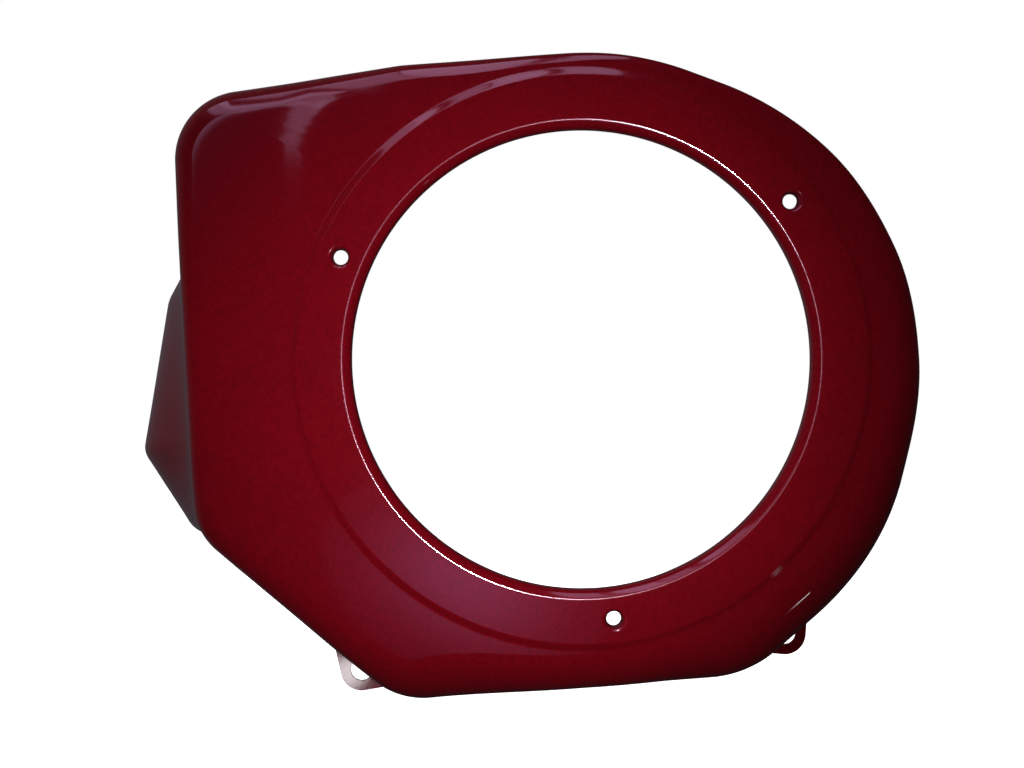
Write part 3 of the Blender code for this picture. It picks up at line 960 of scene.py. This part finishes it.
# %% [markdown]
# The room is the world shader. For the camera it is white. The paint mirrors an almost dark room
# that is only a little paler behind on the left, and the soft fill that reaches the sides and the
# back is given to diffuse rays alone, because a mirrored fill would lie like milk over the red.
# For the same reason the daylight panels are only mirrored, and a soft ceiling that the paint
# doesn't mirror gives the light that would come from them.

# %% World
PALE_SIDE = (-0.72, 0.58, 0.40)     # direction of the room's pale side
MIRRORED = (0.010, 0.09)            # what the paint mirrors, on the dark and on the pale side
MIRRORED_RISE = (0.35, 0.95)        # cosines from the pale side between which it rises
FILL = (0.04, 0.60)                 # the fill for diffuse light
FILL_RISE = (-0.1, 0.9)
ROOM_TINT = (1.0, 0.84, 0.97, 1.0)


def room():
    """White for the camera, dark for the paint, and a soft fill for diffuse light."""
    world = bpy.data.worlds.new("room")
    bpy.context.scene.world = world
    world.use_nodes = True
    tree = world.node_tree
    sky = tree.nodes["Background"]
    lean = node(tree, "ShaderNodeVectorMath", operation="DOT_PRODUCT")
    lean.inputs[1].default_value = PALE_SIDE
    feed(tree, lean.inputs[0], node(tree, "ShaderNodeTexCoord").outputs["Generated"])
    mirrored = ramp(tree, lean.outputs["Value"], *MIRRORED_RISE, *MIRRORED)
    fill = ramp(tree, lean.outputs["Value"], *FILL_RISE, *FILL)
    path = node(tree, "ShaderNodeLightPath")
    fill = maths(tree, "MULTIPLY", path.outputs["Is Diffuse Ray"], fill)
    seen = maths(tree, "MAXIMUM", path.outputs["Is Camera Ray"], path.outputs["Is Transmission Ray"])
    level = maths(tree, "MAXIMUM", mirrored, fill)
    feed(tree, sky.inputs["Strength"], maths(tree, "MAXIMUM", seen, level))
    feed(tree, sky.inputs["Color"], mixed(tree, seen, ROOM_TINT, WHITE))


room()
print("room mirrors", MIRRORED, "and fills", FILL)

# %% [markdown]
# ## Lamps
#
# Each lamp is placed by the reflection that it makes. The lamp beside the lens is mirrored by every
# bend that faces the camera, so it draws the long thin highlights. The daylight panels show where
# the shoulder and the fold look up and to the left. A mirror shows how bright a lamp's face is,
# whatever its size, so the helper for panels takes that radiance and works out the power.

# %% Helpers for lamps
LENS = Vector((-0.0237, -0.485, -0.0085))
MIDDLE = Vector((-0.02, -0.06, -0.01))      # about the middle of the part
NEUTRAL = (1.0, 1.0, 1.0)
DOWN = Vector((0.0, 0.0, -1.0))


def hang(name, data, place, target, turn=0.0):
    """Put a light in its place, aim it at a target and turn it about its own axis, in degrees."""
    light = bpy.data.objects.new(name, data)
    light.location = place
    light.rotation_euler = (target - place).to_track_quat("-Z", "Y").to_euler()
    light.rotation_euler.rotate_axis("Z", math.radians(turn))
    light.visible_camera = False
    bpy.context.scene.collection.objects.link(light)
    return light


def panel(name, place, target, size, radiance, colour, shape="RECTANGLE", turn=0.0):
    """Area light whose face has the given radiance."""
    data = bpy.data.lights.new(name, "AREA")
    data.shape = shape
    data.size, data.size_y = size
    area = size[0] * size[1] * (math.pi / 4.0 if shape == "ELLIPSE" else 1.0)
    data.energy = radiance * math.pi * area
    data.color = colour
    return hang(name, data, place, target, turn)


def spot(name, place, target, power, cone, blend, radius):
    """Lamp with a round cone, in degrees, whose edge is softened by the blend."""
    data = bpy.data.lights.new(name, "SPOT")
    data.energy = power
    data.spot_size = math.radians(cone)
    data.spot_blend = blend
    data.shadow_soft_size = radius
    return hang(name, data, place, target)


print("lens at", [round(v, 4) for v in LENS])

# %% Two spots: one beside the lens, and a narrow one that whitens the lower left ear
LENS_LAMP = LENS + Vector((0.0256, 0.0, -0.0166))
LENS_TARGET = Vector((-0.025, FRONT, -0.010))   # the soft cone lights the middle of the picture most
EAR_LAMP = Vector((-0.151, -0.485, -0.234))
EAR_TARGET = Vector((-0.0866, 0.0, -0.1248))    # the flat of the ear, below its hole

lens_lamp = spot("lens_lamp", LENS_LAMP, LENS_TARGET, power=6.4, cone=42.0, blend=1.0, radius=0.009)
ear_lamp = spot("ear_lamp", EAR_LAMP, EAR_TARGET, power=0.115, cone=4.6, blend=0.3, radius=0.0125)
print("spots:", lens_lamp.name, ear_lamp.name)

# %% Daylight panels, and the soft ceiling that gives their light
DAYLIGHT = (0.95, 0.62, 1.0)
CEILING = 1.0                       # height of the panels above the axis
NEAR_END = -0.27                    # along Y, where the panels end over the part
# Daylight panels, left to right: from x, to x, far end along Y, radiance
PANELS = (
    (-0.85, -0.62, -3.1, 1.4),
    (-0.62, -0.50, -2.5, 2.3),
    (-0.43, -0.28, -2.9, 1.5),
    (-0.26, -0.06, -2.75, 2.5),
    (-0.01, 0.19, -2.2, 1.9),
)
SLANTING_PLACE = Vector((-1.22, -3.85, 1.02))
SLANTING_SIZE = (0.34, 2.1)
SOFT_PLACE = Vector((-0.35, -1.4, CEILING))
SOFT_SIZE = (1.6, 2.8)

windows = []
for number, (left, right, far_end, radiance) in enumerate(PANELS, 1):
    place = Vector(((left + right) / 2.0, (NEAR_END + far_end) / 2.0, CEILING))
    size = (right - left, NEAR_END - far_end)
    windows.append(panel(f"daylight_{number}", place, place + DOWN, size, radiance, DAYLIGHT))
slanting = panel("daylight_slanting", SLANTING_PLACE, SLANTING_PLACE + DOWN, SLANTING_SIZE,
                 radiance=1.3, colour=DAYLIGHT, turn=-24.0)
for window in (*windows, slanting):
    window.visible_diffuse = False
soft_ceiling = panel("soft_ceiling", SOFT_PLACE, SOFT_PLACE + DOWN, SOFT_SIZE,
                     radiance=0.95, colour=NEUTRAL)
soft_ceiling.visible_glossy = False
print("panels that are only mirrored:", len(windows) + 1)

# %% [markdown]
# The glow under the lens has no edge, and an area light always has one. Stacked discs of growing
# size, whose sum falls off as a bell curve does, make a soft one. They stand 2 mm apart, because
# discs in one plane would hide each other in a mirror.

# %% Glow under the lens, lamp low on the right, and the card that lights the back
GLOW_PLACE = Vector((-0.055, -0.485, -0.140))
GLOW_SIZE = (0.086, 0.056)
GLOW_STEPS = 8
GLOW_APART = Vector((0.0, -0.002, 0.0))
GLOW_COLOUR = (0.75, 0.45, 1.0)
RIGHT_PLACE = Vector((0.410, -0.315, -0.405))
RIGHT_SIZE = (0.022, 0.022)
RIGHT_COLOUR = (1.0, 0.95, 0.97)
CARD_PLACE = Vector((-0.1, 1.4, 0.15))
CARD_SIZE = (0.8, 0.8)

for k in range(GLOW_STEPS):
    spread = math.sqrt(-2.0 * math.log((k + 0.5) / GLOW_STEPS))
    size = (GLOW_SIZE[0] * spread, GLOW_SIZE[1] * spread)
    panel(f"lens_glow_{k + 1}", GLOW_PLACE + k * GLOW_APART, MIDDLE, size,
          radiance=0.15, colour=GLOW_COLOUR, shape="ELLIPSE", turn=-25.0)
panel("right_lamp", RIGHT_PLACE, MIDDLE, RIGHT_SIZE,
      radiance=20.0, colour=RIGHT_COLOUR, shape="ELLIPSE")
back_card = panel("back_card", CARD_PLACE, MIDDLE, CARD_SIZE, radiance=3.6, colour=NEUTRAL)
back_card.visible_glossy = False    # mirrored, it would whiten every rim that is seen edge on

# %% [markdown]
# ## Camera
#
# The photo is taken square to the face from about 42 cm, which shows in how far the flare and the
# ears stand out behind the face. The picture is 347 mm wide at the front of the seat.

# %% Place the camera
FIELD = math.radians(44.95)


def place_camera():
    """Camera square to the face, at the lens."""
    data = bpy.data.cameras.new("camera")
    data.sensor_fit = "HORIZONTAL"
    data.angle = FIELD
    data.clip_start = 0.01
    camera = bpy.data.objects.new("camera", data)
    camera.location = LENS
    camera.rotation_euler = (math.radians(90.0), 0.0, 0.0)
    bpy.context.scene.collection.objects.link(camera)
    bpy.context.scene.camera = camera
    return camera


camera = place_camera()
bpy.context.scene.view_settings.view_transform = "Standard"
print("lens", round(camera.data.lens, 1), "mm")
